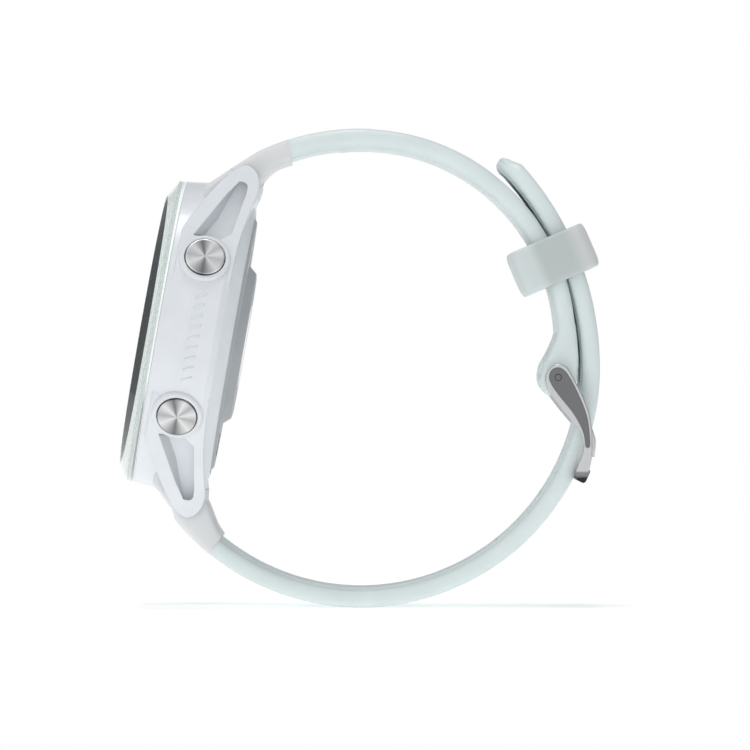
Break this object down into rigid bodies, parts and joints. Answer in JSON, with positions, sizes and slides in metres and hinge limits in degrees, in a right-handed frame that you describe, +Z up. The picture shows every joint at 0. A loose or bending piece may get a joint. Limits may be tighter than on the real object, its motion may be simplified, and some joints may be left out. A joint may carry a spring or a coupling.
{
  "type": "gps running watch",
  "caption": "Round sports watch with thick glass, lugs, side push buttons and a rear sensor, standing on its closed two-part strap with buckle and keeper loop.",
  "frame": {"origin": "on the surface the strap stands on, under the middle of the strap's loop", "axes": "+Z up, -X towards the glass, -Y the three o'clock side; the case leans 10 degrees, its twelve o'clock up"},
  "size_m": [0.073, 0.0481, 0.0726],
  "materials": {
    "antenna_copper": "plated",
    "battery_foil": "foil pouch",
    "bezel_print": "printed ring",
    "board_green": "solder mask",
    "buckle_steel": "polished edges",
    "button_steel": "spun face",
    "case_white": "satin moulded polymer",
    "chassis_grey": "moulded",
    "chip_black": "package",
    "chip_white": "package",
    "contact_gold": "gold plated",
    "cover_grey": "moulded, fine texture",
    "display_dark": "dark reflective panel",
    "film_white": "film",
    "flex_amber": "polyimide film",
    "gasket_black": "matte",
    "glass_clear": "clear, pale green edge",
    "insert_brass": "knurled",
    "keeper_pale": "soft translucent silicone",
    "screw_steel": "stainless",
    "seal_rubber": "matte",
    "spring_steel": "wire",
    "strap_pale": "soft matte silicone, pale aqua",
    "tin_plate": "tin plated",
    "window_black": "dark window"
  },
  "bodies": {
    "watch": {"antenna_ring": "antenna_copper", "back_seal": "seal_rubber", "back_spring": "spring_steel", "backlight_panel": "film_white", "battery_cell": "battery_foil", "bezel_ring": "bezel_print", "buckle_pin": "buckle_steel", "buzzer_disc": "contact_gold", "charge_contacts": "contact_gold", "charge_port": "chip_black", "display_chassis": "chassis_grey", "display_panel": "display_dark", "down_seal": "seal_rubber", "down_spring": "spring_steel", "key_flex_left": "flex_amber", "key_flex_right": "flex_amber", "key_switches": "tin_plate", "lens_gasket": "gasket_black", "lens_glass": "glass_clear", "light_seal": "seal_rubber", "light_spring": "spring_steel", "lug_pin_lower": "screw_steel", "lug_pin_spring_lower": "spring_steel", "lug_pin_spring_upper": "spring_steel", "lug_pin_upper": "screw_steel", "main_board": "board_green", "main_case": "case_white", "rear_cover": "cover_grey", "rear_cover_screws": "screw_steel", "rear_cover_seal": "seal_rubber", "screw_inserts": "insert_brass", "sensor_board": "board_green", "sensor_leds": "chip_white", "sensor_photodiodes": "chip_black", "sensor_window": "window_black", "shield_cans": "tin_plate", "start_seal": "seal_rubber", "start_spring": "spring_steel", "strap_lower": "strap_pale", "strap_upper": "strap_pale", "up_seal": "seal_rubber", "up_spring": "spring_steel", "vibration_motor": "tin_plate"},
    "start_key": {"start_button": "button_steel", "start_clip": "screw_steel"},
    "back_key": {"back_button": "button_steel", "back_clip": "screw_steel"},
    "light_key": {"light_button": "button_steel", "light_clip": "screw_steel"},
    "up_key": {"up_button": "button_steel", "up_clip": "screw_steel"},
    "down_key": {"down_button": "button_steel", "down_clip": "screw_steel"},
    "upper_slide": {"upper_latch": "screw_steel"},
    "lower_slide": {"lower_latch": "screw_steel"},
    "keeper": {"keeper_loop": "keeper_pale"},
    "buckle": {"buckle_frame": "buckle_steel"},
    "tongue": {"buckle_tongue": "buckle_steel"}
  },
  "joints": [
    {"name": "start_press", "type": "slide", "parent": "watch", "child": "start_key", "axis": [-0.0788, 0.891, -0.4471], "range_m": [0, 0.00055], "stiffness_N_per_m": 2500, "springref_m": -0.0004, "deforming": ["start_spring"]},
    {"name": "back_press", "type": "slide", "parent": "watch", "child": "back_key", "axis": [0.0788, 0.891, 0.4471], "range_m": [0, 0.00055], "stiffness_N_per_m": 2500, "springref_m": -0.0004, "deforming": ["back_spring"]},
    {"name": "light_press", "type": "slide", "parent": "watch", "child": "light_key", "axis": [-0.0788, -0.891, -0.4471], "range_m": [0, 0.00055], "stiffness_N_per_m": 2500, "springref_m": -0.0004, "deforming": ["light_spring"]},
    {"name": "up_press", "type": "slide", "parent": "watch", "child": "up_key", "axis": [0, -1, 0], "range_m": [0, 0.00055], "stiffness_N_per_m": 2500, "springref_m": -0.0004, "deforming": ["up_spring"]},
    {"name": "down_press", "type": "slide", "parent": "watch", "child": "down_key", "axis": [0.0788, -0.891, 0.4471], "range_m": [0, 0.00055], "stiffness_N_per_m": 2500, "springref_m": -0.0004, "deforming": ["down_spring"]},
    {"name": "upper_release", "type": "slide", "parent": "watch", "child": "upper_slide", "axis": [0, -1, 0], "range_m": [0, 0.0016], "stiffness_N_per_m": 400, "springref_m": -0.0005, "deforming": ["lug_pin_spring_upper"]},
    {"name": "lower_release", "type": "slide", "parent": "watch", "child": "lower_slide", "axis": [0, -1, 0], "range_m": [0, 0.0016], "stiffness_N_per_m": 400, "springref_m": -0.0005, "deforming": ["lug_pin_spring_lower"]},
    {"name": "keeper_slide", "type": "hinge", "parent": "watch", "child": "keeper", "pos_m": [0.0003, 0, 0.0402], "axis": [0, 1, 0], "range_deg": [-14, 14]},
    {"name": "buckle_swing", "type": "hinge", "parent": "watch", "child": "buckle", "pos_m": [0.0299, 0, 0.0349], "axis": [0, -1, 0], "range_deg": [0, 7]},
    {"name": "tongue_swing", "type": "hinge", "parent": "buckle", "child": "tongue", "pos_m": [0.0299, 0, 0.0349], "axis": [0, -1, 0], "range_deg": [0, 4]}
  ]
}
